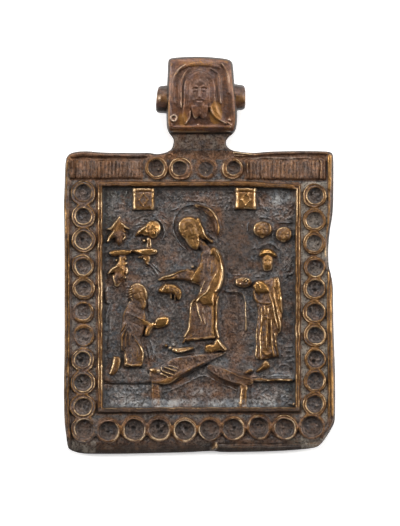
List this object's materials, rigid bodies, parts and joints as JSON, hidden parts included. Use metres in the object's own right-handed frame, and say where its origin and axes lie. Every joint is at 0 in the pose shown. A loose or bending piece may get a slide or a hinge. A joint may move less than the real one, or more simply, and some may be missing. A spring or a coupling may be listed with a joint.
{
  "type": "pectoral icon pendant",
  "caption": "Cast copper-alloy pectoral icon: flat panel with a low-relief scene in a frame of ring bosses, and a bail head with a cord channel.",
  "frame": {"origin": "middle of the outline, on the flat back", "axes": "+Z out of the worked face, +Y up the panel towards the bail head, +X to the viewer's right"},
  "size_m": [0.05, 0.0732, 0.0069],
  "materials": {
    "bronze": "worn cast copper alloy, dark patina with bare brassy high points"
  },
  "bodies": {
    "root": {"icon_casting": "bronze"}
  },
  "joints": []
}
